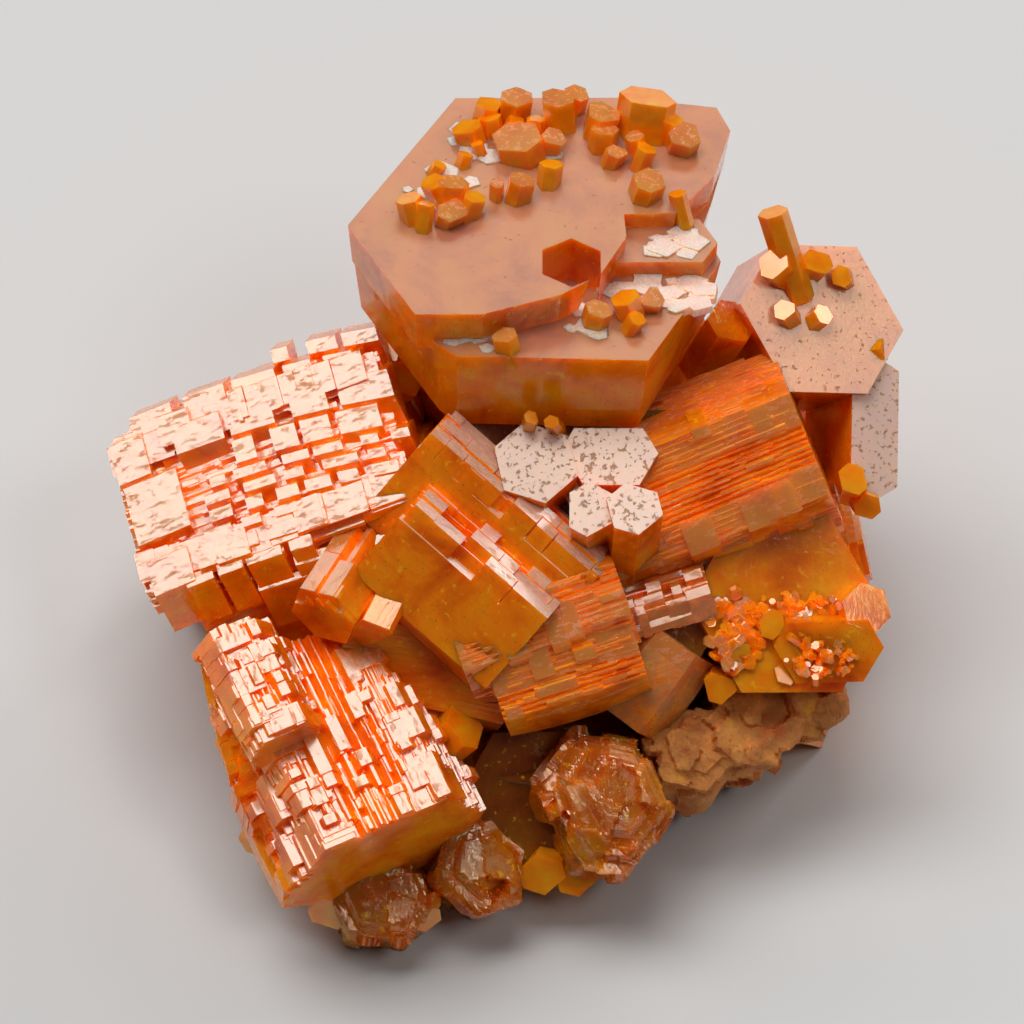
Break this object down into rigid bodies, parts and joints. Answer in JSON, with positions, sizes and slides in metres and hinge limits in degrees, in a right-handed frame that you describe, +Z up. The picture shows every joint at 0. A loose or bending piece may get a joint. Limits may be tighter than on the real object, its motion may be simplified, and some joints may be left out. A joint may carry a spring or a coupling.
{
  "type": "mimetite crystal cluster",
  "caption": "Cluster of intergrown orange six-sided mineral crystals, with a flat tabular crystal at the top, mosaic barrels round it, and a cut underside to rest on.",
  "frame": {"origin": "middle of the box round the cluster, on the surface that its cut underside rests on", "axes": "+Z up, -Y towards the person who looks at the display side, +X to that person's right"},
  "size_m": [0.0367, 0.035, 0.0253],
  "materials": {
    "mimetite": "glossy, translucent crystal with frosted end faces"
  },
  "bodies": {
    "root": {"mimetite_cluster": "mimetite"}
  },
  "joints": []
}
